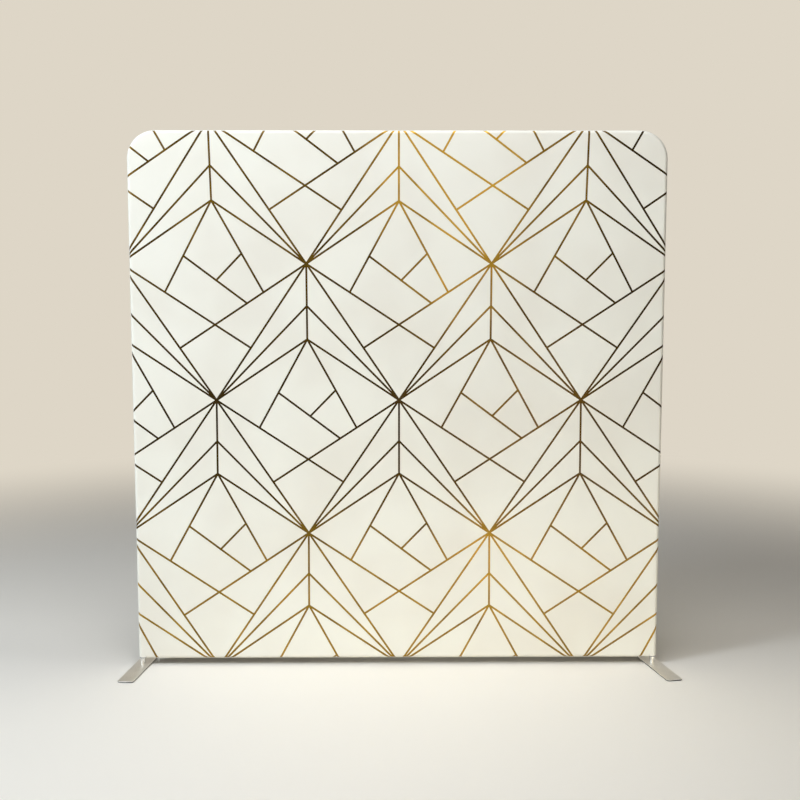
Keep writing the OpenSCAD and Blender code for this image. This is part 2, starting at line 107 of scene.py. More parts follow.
class CoverSettings(PropertyGroup):
    cloth: colour("Cloth", "Colour of the bleached polyester knit", "#F5F6EF")
    cloth_shade: colour("Cloth shade", "Slightly greyer patches of the knit", "#EFEEE6")
    gold: colour("Gold", "Light end of the gold print", "#C49C34")
    bronze: colour("Bronze", "Middle of the gold print", "#4E3A08")
    sable: colour("Sable", "Dark end of the gold print", "#1A1204")
    thread: colour("Thread", "Colour of the sewing thread", "#F1F0EA")
    thickness: number("Thickness", "Thickness of the knit", 0.5 * MM)
    wale: number("Wale", "Width of one column of knit loops", 1.0 * MM)
    grid: number("Grid", "Spacing of the mesh across the flat cloth", 0.08)
    margin: number("Margin", "Turn round the tube where the print ends", math.radians(54), "ROTATION")
    tuck: number("Tuck", "Depth of the valley along the side seam", 0.5 * MM)
    stitch: number("Stitch", "Spacing of the stitches of the side seam", 3.2 * MM)
    hem_stitch: number("Hem stitch", "Spacing of the stitches of the hem", 4.0 * MM)


class PrintSettings(PropertyGroup):
    line: number("Line", "Width of a printed line", 9.1 * MM)
    lift: number("Lift", "Height of the foil print over the knit", 0.15 * MM)
    half_repeat: number("Half repeat", "Half the distance between the stars of a row", 0.419)
    row: number("Row", "Height from one row of stars to the next", 0.6256)
    star_x: number("Star X", "Place of a star of the middle row", 0.005)
    star_z: number("Star Z", "Height of the middle row", 1.2556)
    fork: number("Fork", "From a star down to its first fork", 0.1917)
    tent: number("Tent", "From a star down to its second fork", 0.3444)
    fall: number("Fall", "Drop of the shallow lines over half a repeat", 0.2772)
    skirt_out: number("Skirt out", "Sideways to a point on the tent's lower lines", 0.2238)
    skirt_down: number("Skirt down", "From a star down to that point", 0.7553)
    tie_run: number("Tie run", "Sideways run of the tie across the tent", 0.286)
    tie_fall: number("Tie fall", "Drop of the tie over that run", 0.2166)
    tie_start: number("Tie start", "Share of the tent's left line above the tie", 0.601, "NONE")
    brace_start: number("Brace start", "Share of the tent's right line above the brace", 0.573, "NONE")
    brace_end: number("Brace end", "Share of the tie before the brace", 0.513, "NONE")
    pull_out: number("Pull out", "How far the cloth is pulled outwards at its corners", 0.018)
    pull_top: number("Pull top", "How much further it is pulled at the top", 0.007)
    pull_up: number("Pull up", "How far the corners are pulled up and down", 0.015)
    gather: number("Gather", "How far the rows draw together at mid height", 0.0095)


class ZipSettings(PropertyGroup):
    tape: colour("Tape", "Colour of the woven tape", "#E9E7DE")
    coil: colour("Coil", "Colour of the nylon coil", "#E6E4DB")
    enamel: colour("Enamel", "Colour of the slider's enamel", "#F4F3EC")
    pitch: number("Pitch", "Length of one turn of the coil", 2.0 * MM)
    wire: number("Wire", "Radius of the coil's wire", 0.31 * MM)


class FootSettings(PropertyGroup):
    steel: colour("Steel", "Colour of the brushed stainless plate", "#EEECE6")
    # Scale is painted shade: a near black for the plate's sides below the bevel, standing in for their
    # shadow and dark reflection
    scale: colour("Scale", "Colour of the plate's cut sides, under the bevel", "#1B1815")
    chrome: colour("Chrome", "Colour of the plated post", "#E9E9E7")
    rubber: colour("Rubber", "Colour of the sole", "#1C1B1A")
    left_splay: number("Left splay", "Turn of the left foot", math.radians(-6.5), "ROTATION")
    right_splay: number("Right splay", "Turn of the right foot", math.radians(11), "ROTATION")
    depth: number("Depth", "Length of a plate from front to back", 0.5)
    width: number("Width", "Width of a plate", 0.075)
    corner: number("Corner", "Corner radius of a plate", 14 * MM)
    bevel: number("Bevel", "Bevel round the top of a plate", 1.8 * MM)
    inset: number("Inset", "Distance of the sole's edge from the plate's", 1.5 * MM)
    post: number("Post", "Diameter of the post under the hem", 26 * MM)
    pin: number("Pin", "Diameter of the pin inside the tee", 20 * MM)


class StageSettings(PropertyGroup):
    floor: colour("Floor", "Colour of the floor", "#F6F3EC")
    wall: colour("Wall", "Colour of the wall as it is seen", "#DED6C7")
    shade: colour("Shade", "Colour of the wall as it lights the floor", "#6E695F")
    radius: number("Radius", "From the middle of the floor to the wall", 10.5)
    key: number("Key", "Power of the lamp at the left", 296, "POWER")
    low: number("Low", "Power of the low lamp in front", 32, "POWER")
    glow: number("Glow", "Power of the lamp on the floor before the wall", 1.8, "POWER")
    top: number("Top", "Power of the lamp overhead", 156, "POWER")
    rim: number("Rim", "Power of the strip above the top tube", 21, "POWER")
    rear: number("Rear", "Power of the low lamp behind", 31, "POWER")
    sky: number("Sky", "Strength of the light from above the wall", 0.05, "NONE")


# ---- Nodes and materials


def feed(node, values):
    """Sets or links inputs, given by name or in order; a node stands for its first output in use."""
    if isinstance(values, dict):
        pairs = [(node.inputs[key], value) for key, value in values.items()]
    else:
        pairs = zip([socket for socket in node.inputs if socket.enabled], values)
    for socket, value in pairs:
        if isinstance(value, Node):
            value = next(output for output in value.outputs if output.enabled)
        if isinstance(value, NodeSocket):
            node.id_data.links.new(value, socket)
        else:
            socket.default_value = value


def add_node(tree, kind, values=(), **settings):
    """A new node with its settings and inputs."""
    node = tree.nodes.new("ShaderNode" + kind)
    for key, value in settings.items():
        setattr(node, key, value)
    feed(node, values)
    return node


def material(name):
    """A new material, the call that adds nodes to it and the object coordinates."""
    made = bpy.data.materials.new(name)
    made.use_nodes = True
    add = partial(add_node, made.node_tree)
    return made, add, add("TexCoord").outputs["Object"]


def shader(made):
    return made.node_tree.nodes["Principled BSDF"]


def dressed(made, tint, rough, height, strength, depth, **others):
    """Gives a material its colour, its roughness, a bump of some depth and other inputs by name."""
    bump = add_node(made.node_tree, "Bump", {"Height": height, "Strength": strength, "Distance": depth})
    feed(shader(made), {"Base Color": tint, "Roughness": rough, "Normal": bump, **others})
    return made


def stained(add, marks, start, end, low, high, share=1.0, **settings):
    """A colour that goes over to another, or part of the way, as the marks grow from start to end."""
    part = add("MapRange", (marks, start, end, 0, share), **settings)
    return add("Mix", (part, low, high), data_type="RGBA")


def darker(tint, share):
    return [c * share for c in tint[:3]] + [1.0]


def knit_height(add, wale):
    """Columns of V-shaped loops on the cloth's own map; real loops of about 0.35 mm are drawn coarser."""
    flat = add("SeparateXYZ", [add("UVMap", uv_map="cloth")]).outputs
    column = add("Math", (flat["X"], math.pi / wale), operation="MULTIPLY")
    rib = add("Math", [add("Math", [column], operation="SINE")], operation="ABSOLUTE")
    course = add("Math", (flat["Y"], 2 * math.pi / (0.8 * wale)), operation="MULTIPLY")
    lean = add("Math", (rib, 2.4, course), operation="MULTIPLY_ADD")
    loops = add("MapRange", (add("Math", [lean], operation="SINE"), -1, 1, 0.35, 1))
    return add("Math", (rib, loops), operation="MULTIPLY")


def knit_polyester(name, cover):
    """Warp-knitted polyester, heat set and bleached: matt, faintly ribbed, with cloudy patches of grey."""
    made, add, where = material(name)
    clouds = add("TexNoise", (where, 2.2, 2.0))
    tint = stained(add, clouds, 0.35, 0.7, cover.cloth, cover.cloth_shade, **SMOOTH)
    nap = {"Sheen Weight": 0.12, "Sheen Roughness": 0.5, "Specular IOR Level": 0.3}
    return dressed(made, tint, 0.82, knit_height(add, cover.wale), 0.35, 0.15 * MM, **nap)


def foil_print(name, cover):
    """Gold foil pressed on knit: its colour is set by place on the panel, from bronze black to pale gold,
    palest low down and in broad patches higher up, darker near the right edge, and broken up by mottling.
    """
    made, add, where = material(name)
    face = add("SeparateXYZ", [where]).outputs
    rise = add("MapRange", (face["Z"], 1.05, 2.2, 0.15, 0.44), **SMOOTH)
    right = add("MapRange", (face["X"], 0.7, 1.0, 1.0, 0.3), **SMOOTH)
    high = add("Math", (rise, right), operation="MULTIPLY")
    low = add("MapRange", (face["Z"], 0.25, 1.2, 0.72, 0.15), **SMOOTH)
    amount = add("Math", (high, low), operation="MAXIMUM")
    # Where the foil is palest on the panel
    for centre, size, share in (
        ((0.25, 0, 2.45), (0.75, 1, 1.5), 1.15),
        ((0.72, 0, 2.25), (0.5, 1, 1.1), 0.55),
        ((0.5, 0, 1.35), (0.8, 1, 1.0), 0.42),
        ((0.4, 0, 0.5), (0.6, 1, 0.5), 0.8),
    ):
        offset = add("VectorMath", (where, centre), operation="SUBTRACT")
        scaled = add("VectorMath", (offset, size), operation="DIVIDE")
        away = add("VectorMath", [scaled], operation="LENGTH")
        patch = add("MapRange", (away, 0.1, 1.0, share, 0.0), **SMOOTH)
        amount = add("Math", (amount, patch), operation="MAXIMUM")
    mottle = add("TexNoise", (where, 7.0, 4.0))
    broken = add("MapRange", (mottle, 0.3, 0.7, 0.7, 1.2))
    tones = add("ValToRGB", [add("Math", (amount, broken), operation="MULTIPLY")])
    tones.color_ramp.elements.new(0.35)
    for stop, tint in zip(tones.color_ramp.elements, (cover.sable, cover.bronze, cover.gold)):
        stop.color = tint
    rough = add("MapRange", (mottle, 0.3, 0.7, 0.34, 0.48))
    return dressed(made, tones, rough, knit_height(add, cover.wale), 0.25, 0.1 * MM, Metallic=0.8)


def sewing_thread(name, tint):
    """Spun polyester thread: matt, two plies twisted at about 0.9 mm."""
    made, add, where = material(name)
    scale = 1 / (0.9 * MM) / 20
    twist = add("TexWave", (where, scale, 1.0), bands_direction="DIAGONAL").outputs["Fac"]
    worn = stained(add, twist, 0.0, 1.0, tint, linear("#C9C7BD"), 0.35)
    return dressed(made, worn, 0.6, twist, 0.4, 0.05 * MM, **{"Sheen Weight": 0.2})


def woven_tape(name, tint):
    """Polyester zip tape woven in a fine twill, with ribs 0.8 mm apart that run aslant."""
    made, add, where = material(name)
    flat = add("SeparateXYZ", [add("UVMap", uv_map="cloth")]).outputs
    slant = add("Math", (flat["Y"], 1.7, flat["X"]), operation="MULTIPLY_ADD")
    turns = add("Math", (slant, 2 * math.pi / (0.8 * MM)), operation="MULTIPLY")
    rib = add("Math", [turns], operation="SINE")
    patches = add("TexNoise", (where, 40.0, 3.0))
    patchy = stained(add, patches, 0.3, 0.7, tint, linear("#D8D5CA"), 0.5)
    return dressed(made, patchy, 0.85, rib, 0.5, 0.12 * MM, **{"Sheen Weight": 0.1})


def drawn_metal(name, tint, rough, grain, along, fine=0.2, turn=0.0, anisotropic=0.0):
    """Metal with lines left by drawing or brushing: grain is a line's width, along how much longer it is."""
    made, add, where = material(name)
    scale = [1 / (grain * share) for share in along]
    lined = add("Mapping", {"Vector": where, "Scale": scale, "Rotation": (0, 0, turn)})
    lines = add("TexNoise", (lined, 1.0, 4.0, 0.6))
    stains = add("TexNoise", (where, 9.0, 4.0))
    part = add("Math", (stains, 0.4), operation="MULTIPLY")
    mixed = add("Math", (lines, 0.6, part), operation="MULTIPLY_ADD")
    dull = stained(add, mixed, 0.35, 0.65, tint, darker(tint, 0.82))
    rough = add("MapRange", (mixed, 0.3, 0.7, rough - 0.06, rough + 0.1))
    return dressed(made, dull, rough, lines, fine, 0.05 * MM, Metallic=1.0, Anisotropic=anisotropic)


def grained(name, tint, rough, grain, depth, metal=False):
    """An even grain with no direction, and a little staining: cast, tumbled or plated metal, and moulded
    plastic, rubber or sprayed enamel, whose texture is slighter."""
    made, add, where = material(name)
    if metal:
        jagged, blots, fade, spare, strength = 0.65, 14.0, 0.8, 0.1, 0.35
    else:
        jagged, blots, fade, spare, strength = 0.5, 60.0, 0.88, 0.08, 0.3
    specks = add("TexNoise", (where, 1 / grain, 3.0, jagged))
    stains = add("TexNoise", (where, blots, 3.0))
    dull = stained(add, stains, 0.35, 0.7, tint, darker(tint, fade))
    rough = add("MapRange", (stains, 0.3, 0.7, rough - 0.05, rough + spare))
    return dressed(made, dull, rough, specks, strength, depth, Metallic=float(metal))


def turned_chrome(name, tint):
    """Bright chromium over a turned post: near mirror, with faint rings from the lathe 0.4 mm apart."""
    made, add, where = material(name)
    height = add("SeparateXYZ", [where]).outputs["Z"]
    turns = add("Math", (height, 2 * math.pi / (0.4 * MM)), operation="MULTIPLY")
    rings = add("Math", [turns], operation="SINE")
    smudges = add("TexNoise", (where, 70.0, 4.0))
    handled = stained(add, smudges, 0.4, 0.7, tint, linear("#C9C9C6"), 0.4)
    rough = add("MapRange", (smudges, 0.35, 0.7, 0.08, 0.2))
    return dressed(made, handled, rough, rings, 0.15, 0.02 * MM, Metallic=1.0)


# ---- Modelling by hand


def deselect():
    if bpy.context.object and bpy.context.object.mode != "OBJECT":
        bpy.ops.object.mode_set(mode="OBJECT")
    bpy.ops.object.select_all(action="DESELECT")


def take(piece):
    """Makes piece the one selected, active object, in object mode."""
    deselect()
    piece.select_set(True)
    bpy.context.view_layer.objects.active = piece


def edit(piece):
    """Takes piece into edit mode, all of it selected."""
    take(piece)
    bpy.ops.object.mode_set(mode="EDIT")
    bpy.ops.mesh.select_all(action="SELECT")


def outwards(piece, inside=False):
    """Points the normals of every face outwards, or inside."""
    edit(piece)
    bpy.ops.mesh.normals_make_consistent(inside=inside)
    bpy.ops.object.mode_set(mode="OBJECT")


def span(edge, axis):
    """Length of an edge along an axis."""
    return abs(edge.verts[0].co[axis] - edge.verts[1].co[axis])


def pick(piece, kind, test):
    """In edit mode, selects the edges or the faces that pass the test."""
    bpy.ops.mesh.select_mode(type=kind)
    bpy.ops.mesh.select_all(action="DESELECT")
    shape = bmesh.from_edit_mesh(piece.data)
    for part in shape.faces if kind == "FACE" else shape.edges:
        if test(part):
            part.select_set(True)
    bmesh.update_edit_mesh(piece.data)


def ease(piece, test, offset, segments):
    """In edit mode, bevels the edges that pass the test."""
    pick(piece, "EDGE", test)
    bpy.ops.mesh.bevel(offset=offset, segments=segments, affect="EDGES")


def cube(name, low, high):
    """A cube between two corners, its place in its mesh, left in edit mode."""
    low, high = Vector(low), Vector(high)
    deselect()
    bpy.ops.mesh.primitive_cube_add(size=1, location=(low + high) / 2)
    piece = bpy.context.object
    piece.name = piece.data.name = name
    piece.scale = high - low
    bpy.ops.object.transform_apply(location=True, rotation=True, scale=True)
    bpy.ops.object.mode_set(mode="EDIT")
    return piece


def mesh_piece(name, verts, faces, edges=()):
    data = bpy.data.meshes.new(name)
    data.from_pydata(verts, edges, faces)
    piece = bpy.data.objects.new(name, data)
    bpy.context.scene.collection.objects.link(piece)
    take(piece)
    return piece


def arc(centre, radius, start, end, steps):
    """Points of an arc from one angle to another, both ends with it."""
    turns = [start + (end - start) * n / steps for n in range(steps + 1)]
    return [(centre[0] + radius * math.cos(t), centre[1] + radius * math.sin(t)) for t in turns]


def turned(name, profile, steps):
    """Spins a profile of (radius, height) about the vertical through the origin."""
    edges = [(i, i + 1) for i in range(len(profile) - 1)]
    piece = mesh_piece(name, [(r, 0, z) for r, z in profile], [], edges)
    edit(piece)
    bpy.ops.mesh.spin(steps=steps, angle=2 * math.pi, center=(0, 0, 0), axis=(0, 0, 1))
    bpy.ops.mesh.select_all(action="SELECT")
    bpy.ops.mesh.remove_doubles(threshold=0.01 * MM)
    outwards(piece)
    return piece


def tube_faces(steps, sides):
    """Faces of a tube whose vertices are steps + 1 rings of sides each."""
    return [
        (n * sides + k, (n + 1) * sides + k, (n + 1) * sides + (k + 1) % sides, n * sides + (k + 1) % sides)
        for n in range(steps) for k in range(sides)
    ]


def join(name, pieces):
    take(pieces[0])
    for piece in pieces:
        piece.select_set(True)
    bpy.ops.object.join()
    pieces[0].name = pieces[0].data.name = name
    return pieces[0]


def copies(name, unit, places):
    """One mesh with a copy of unit at each placing matrix; unit is deleted."""
    shape = unit.data
    count = len(shape.vertices)
    verts, faces = [], []
    for n, matrix in enumerate(places):
        verts += [matrix @ v.co for v in shape.vertices]
        faces += [[i + n * count for i in f.vertices] for f in shape.polygons]
    made = mesh_piece(name, verts, faces)
    bpy.data.objects.remove(unit)
    return made


def smooth(piece, degrees=35):
    take(piece)
    bpy.ops.object.shade_smooth_by_angle(angle=math.radians(degrees))


def apply_modifier(piece, kind, **settings):
    take(piece)
    made = piece.modifiers.new(kind.title(), kind)
    for key, value in settings.items():
        setattr(made, key, value)
    bpy.ops.object.modifier_apply(modifier=made.name)


def lay_flat(piece, spots):
    """Gives each vertex its place on the flat cloth, in metres, as its UV map."""
    layer = piece.data.uv_layers.new(name="cloth")
    for corner in piece.data.loops:
        layer.data[corner.index].uv = spots[corner.vertex_index]


def finish_piece(piece, finish, body, slot, *replaced):
    """Gives a finished piece its material and body, and hides the CAD nodes it stands for; slot is not used.
    """
    piece.data.materials.clear()
    piece.data.materials.append(finish)
    deselect()
    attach(piece, body)
    if replaced:
        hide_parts(*replaced)


# ---- The flat cloth, and how it goes round the tubes


class Pattern:
    """Lines drawn on a flat sheet, to be cut into faces."""

    def __init__(self):
        self.points, self.edges = [], []

    def line(self, *points):
        first = len(self.points)
        self.points += [Vector(p) for p in points]
        self.edges += [(i, i + 1) for i in range(first, first + len(points) - 1)]

    def cut(self, keep):
        """All the points, and the triangles whose middle passes keep."""
        points, _, faces, *_ = delaunay_2d_cdt(self.points, self.edges, [], 0, 0.002 * MM)
        middles = [[sum(points[i][k] for i in face) / 3 for k in (0, 1)] for face in faces]
        return points, [face for face, middle in zip(faces, middles) if keep(*middle)]


def beyond(u, v):
    """How far a point of the flat cloth lies past the tube's centre line, and the direction outwards."""
    side = math.copysign(1, u)
    if abs(u) > BEND_X and v > BEND_Z:
        reach = Vector((abs(u) - BEND_X, v - BEND_Z))
        if reach.length <= BEND_R:
            return 0.0, None
        way = reach.normalized()
        return reach.length - BEND_R, Vector((side * way.x, 0, way.y))
    if abs(u) > POST_X:
        return abs(u) - POST_X, Vector((side, 0, 0))
    if v > TOP_Z:
        return v - TOP_Z, Vector((0, 0, 1))
    if v < RAIL_Z and abs(u) <= ROLL_END + 0.2 * MM:
        return RAIL_Z - v, Vector((0, 0, -1))
    return 0.0, None


def stretched(u, v, lift, tuck):
    """Where a point of the flat cloth lies on the frame, lifted off it, or tucked in beside the seam."""
    out, way = beyond(u, v)
    radius = SKIN + lift
    if not way:
        return Vector((u, -radius, v))
    start = ROLL - VALLEY
    if out > start and way.z > -0.5:
        radius -= tuck * ((out - start) / (ROLL - start)) ** 2
    angle = out / SKIN
    foot = Vector((u, 0, v)) - way * out
    return foot + way * radius * math.sin(angle) - Vector((0, radius * math.cos(angle), 0))


def rim(out):
    """Line that follows the side and top tubes at that distance past their centre line."""
    left = [(-POST_X - out, v) for v in (FLAP_Z, RAIL_Z, BEND_Z)]
    for n in range(1, ARC_STEPS):
        turn = math.pi / 2 * n / ARC_STEPS
        radius = BEND_R + out
        left.append((-BEND_X - radius * math.cos(turn), BEND_Z + radius * math.sin(turn)))
    left.append((-BEND_X, TOP_Z + out))
    return left + [(-u, v) for u, v in reversed(left)]


def on_cloth(u, v, edge, hem):
    """True if the point is on the cover's half: edge and hem are how far it goes round the tubes."""
    out = beyond(u, v)[0]
    if v >= RAIL_Z:
        return out < edge
    if abs(u) <= ROLL_END:
        return out < hem
    return abs(u) >= FLAP_X and v > FLAP_Z and out < edge


def roll_lines(pattern, edge, hem):
    """Lines along the tubes, close enough together for the cloth to bend round them."""
    for n in range(ROLL_STEPS + 1):
        pattern.line(*rim(edge * n / ROLL_STEPS))
    for n in range(ROLL_STEPS + 1):
        level = RAIL_Z - hem * n / ROLL_STEPS
        pattern.line((-ROLL_END, level), (ROLL_END, level))
    for side in (-1, 1):
        pattern.line((side * ROLL_END, RAIL_Z - hem), (side * ROLL_END, RAIL_Z))
        pattern.line((side * FLAP_X, FLAP_Z), (side * FLAP_X, RAIL_Z))
        pattern.line((side * FLAP_X, FLAP_Z), (side * (POST_X + edge), FLAP_Z))
        pattern.line((side * ROLL_END, RAIL_Z), (side * (POST_X + edge), RAIL_Z))


def cloth_piece(name, points, faces, lift, tuck, side):
    """Mesh of the cut cloth on the frame; side 1 is the back."""
    used = sorted({i for f in faces for i in f})
    order = {i: n for n, i in enumerate(used)}
    spots = [points[i] for i in used]
    verts = [stretched(u, v, lift, tuck) for u, v in spots]
    if side > 0:
        verts = [Vector((p.x, -p.y, p.z)) for p in verts]
    piece = mesh_piece(name, verts, [[order[i] for i in f[::-side]] for f in faces])
    lay_flat(piece, spots)
    shape = bmesh.new()
    shape.from_mesh(piece.data)
    limits = {"angle_face_threshold": math.radians(12), "angle_shape_threshold": math.radians(40)}
    bmesh.ops.join_triangles(shape, faces=shape.faces, **limits)
    shape.to_mesh(piece.data)
    shape.free()
    return piece


class BACKWALL_OT_cover(Operator):
    """Make the front and back of the stretch cover"""

    bl_idname = "backwall.cover"
    bl_label = "Cover"

    def execute(self, context):
        cover = context.scene.backwall_cover
        pattern = Pattern()
        roll_lines(pattern, ROLL, HEM_TURN)
        for n in (3, 2, 1):
            pattern.line(*rim(ROLL - VALLEY * n / 3))
        columns = int(DRAWN_X / cover.grid)
        for n in range(-columns, columns + 1):
            pattern.line((n * cover.grid, 0), (n * cover.grid, DRAWN_Z))
        for n in range(int(DRAWN_Z / cover.grid)):
            pattern.line((-DRAWN_X, n * cover.grid), (DRAWN_X, n * cover.grid))
        points, faces = pattern.cut(lambda u, v: on_cloth(u, v, ROLL, HEM_TURN))
        for name, side, slot, node in (
            ("front_cover", -1, "printed_fabric", "cover_front"),
            ("back_cover", 1, "plain_fabric", "cover_back"),
        ):
            piece = cloth_piece(name, points, faces, 0.0, cover.tuck, side)
            apply_modifier(piece, "SOLIDIFY", thickness=cover.thickness, offset=-1, use_even_offset=True)
            smooth(piece, 40)
            finish_piece(piece, knit_polyester(f"knitted polyester, {name}", cover), ROOT, slot, node)
        return {"FINISHED"}


def crossing(a, b, c, d):
    """Where the line through a and b meets the line through c and d."""
    a, b, c, d = (Vector(p) for p in (a, b, c, d))
    one, two = b - a, d - c
    return a + one * ((c - a).cross(two) / one.cross(two))


def star_lines(art):
    """One repeat of the line pattern, from a star at the origin, heights counted downwards."""
    a, b, c = art.half_repeat, art.row, art.fall
    star, fork, tent = (0, 0), (0, art.fork), (0, art.tent)
    lines = [(star, tent)]
    foot = {}
    for side in (-1, 1):
        below = (side * a, b)
        shallow_end = crossing(star, (side * a, c), (2 * side * a, 0), below)
        foot[side] = crossing(tent, (side * art.skirt_out, art.skirt_down), below, (0, b + c))
        lines += [(star, below), (fork, below), (tent, below), (star, shallow_end), (tent, foot[side])]
    left = Vector(tent).lerp(foot[-1], art.tie_start)
    right = crossing(left, left + Vector((art.tie_run, art.tie_fall)), (a, b), (0, b + c))
    brace = Vector(tent).lerp(foot[1], art.brace_start)
    return lines + [(left, right), (brace, left.lerp(right, art.brace_end))]


def pulled(point, art):
    """A point of the printed pattern once the frame has pulled the cloth tight, most at its corners."""
    side, rise = point.x / PULL_X, (point.y - PULL_MIDDLE) / PULL_Z
    out = side * rise ** 2 * (art.pull_out + art.pull_top * rise)
    up = art.pull_up * rise ** 3 * side ** 2 - art.gather * (rise - rise ** 3)
    return point + Vector((out, up))


def inked(points, faces, lines, half):
    """The faces whose middle lies on one of the printed lines, found square by square."""
    square = 0.05
    squares = {}
    for face in faces:
        centre = sum((points[i] for i in face), Vector((0, 0))) / len(face)
        squares.setdefault((int(centre.x // square), int(centre.y // square)), []).append((centre, face))
    found = {}
    for p, q in lines:
        way = (q - p).normalized()
        columns, rows = (sorted(int(end[k] // square) for end in (p, q)) for k in (0, 1))
        for column in range(columns[0] - 1, columns[1] + 2):
            for row in range(rows[0] - 1, rows[1] + 2):
                reach = Vector(((column + 0.5) * square, (row + 0.5) * square)) - p
                if abs(reach.cross(way)) > square:
                    continue
                for centre, face in squares.get((column, row), ()):
                    reach = centre - p
                    if abs(reach.cross(way)) < half and 0 < reach.dot(way) < (q - p).length:
                        found[tuple(face)] = face
    return list(found.values())


class BACKWALL_OT_print(Operator):
    """Press the gold line pattern on the front of the cover"""

    bl_idname = "backwall.print"
    bl_label = "Gold print"

    def execute(self, context):
        cover, art = context.scene.backwall_cover, context.scene.backwall_print
        edge = SKIN * cover.margin
        pattern, lines = Pattern(), []
        roll_lines(pattern, edge, HEM_TURN)
        stars = [(column, row) for row in range(-3, 4) for column in range(-5, 6) if (row + column) % 2 == 0]
        for column, row in stars:
            star = Vector((art.star_x + column * art.half_repeat, art.star_z - row * art.row))
            for line in star_lines(art):
                p, q = (pulled(star + Vector((point[0], -point[1])), art) for point in line)
                if min(abs(p.x), abs(q.x)) > DRAWN_X or q.y > DRAWN_Z or p.y < -0.1:
                    continue
                across = (q - p).orthogonal().normalized() * art.line / 2
                pattern.line(p + across, p - across, q - across, q + across, p + across)
                lines.append((p, q))
        points, faces = pattern.cut(lambda u, v: on_cloth(u, v, edge, HEM_TURN))
        faces = inked(points, faces, lines, art.line / 2)
        piece = cloth_piece("gold_print", points, faces, art.lift, 0.0, -1)
        apply_modifier(piece, "SOLIDIFY", thickness=art.lift + 0.06 * MM, offset=-1)
        smooth(piece, 40)
        finish_piece(piece, foil_print("gold foil, pressed on knit", cover), ROOT, "printed_fabric")
        return {"FINISHED"}


def thread_loop(name, half, radius, sink):
    """A short stitch: a thread that comes up, crosses and goes down, along X, up being +Z."""
    sides, steps = 6, 6
    verts = []
    for n in range(steps + 1):
        at = -1 + 2 * n / steps
        ring = arc((0, -sink * at ** 4), radius, 0, 2 * math.pi, sides)[:-1]
        verts += [(at * half, y, z) for y, z in ring]
    ends = [range(sides), range(steps * sides, (steps + 1) * sides)]
    piece = mesh_piece(name, verts, tube_faces(steps, sides) + [list(end) for end in ends])
    outwards(piece)
    return piece


def basis(along, up, where):
    """Placing matrix with X along, Z up and its origin at where."""
    side = up.cross(along)
    return Matrix.Translation(where) @ Matrix((along, side, up)).transposed().to_4x4()


def side_places(cover):
    """Slanted stitches across the valley between the front and the back."""
    path = [Vector((u, 0, v)) for u, v in rim(0.0)]
    places = []
    rest = cover.stitch / 2
    for start, end in zip(path, path[1:]):
        length = (end - start).length
        along = (end - start).normalized()
        out = Vector((-along.z, 0, along.x))
        slant = (Vector((0, 1, 0)) + along * 0.35).normalized()
        while rest < length:
            places.append(basis(slant, out, start + along * rest + out * (SKIN - 0.12 * MM)))
            rest += cover.stitch
        rest -= length
    return places


def hem_places(cover):
    """Two rows on each side of the hem, over the tape's edge."""
    half = 1.184  # half the sewn length, which ends beside the feet
    count = round(half / cover.hem_stitch)
    places = []
    for turn in (math.radians(52), math.radians(56)):
        for side in (-1, 1):
            out = Vector((0, side * math.cos(turn), -math.sin(turn)))
            for n in range(-count, count + 1):
                spot = Vector((n * cover.hem_stitch, 0, RAIL_Z)) + out * (SKIN + 0.08 * MM)
                places.append(basis(Vector((1, 0, 0)), out, spot))
    return places


class BACKWALL_OT_seams(Operator):
    """Sew the side seam and the hem of the cover"""

    bl_idname = "backwall.seams"
    bl_label = "Seams"

    def execute(self, context):
        cover = context.scene.backwall_cover
        finish = sewing_thread("spun polyester thread, sewn", cover.thread)
        side_stitch = thread_loop("seam_stitch", 1.15 * MM, 0.16 * MM, 0.1 * MM)
        hem_stitch = thread_loop("hem_stitch", 1.6 * MM, 0.17 * MM, 0.15 * MM)
        for name, unit, places in (
            ("side_seam_stitches", side_stitch, side_places(cover)),
            ("hem_stitches", hem_stitch, hem_places(cover)),
        ):
            piece = copies(name, unit, places)
            smooth(piece, 60)
            finish_piece(piece, finish, ROOT, "plain_fabric")
        return {"FINISHED"}


# ---- Zip


def rounded_plate(name, low, high, radius, edge):
    """A flat plate with rounded corners and eased edges."""
    piece = cube(name, low, high)
    tall = high[2] - low[2]
    ease(piece, lambda e: span(e, 2) > tall / 2, radius, 6)
    ease(piece, lambda e: span(e, 2) < tall / 10, edge, 3)
    return piece


def punched(name, shapes, keep, spot, thickness):
    """A flat part punched from sheet metal: the faces in its shapes that pass keep, put in place by spot."""
    drawing = Pattern()
    for shape in shapes:
        drawing.line(*shape, shape[0])
    points, faces = drawing.cut(keep)
    piece = mesh_piece(name, [spot(*p) for p in points], faces)
    edit(piece)
    bpy.ops.mesh.delete_loose()
    apply_modifier(piece, "SOLIDIFY", thickness=thickness, offset=0)
    outwards(piece)
    return piece


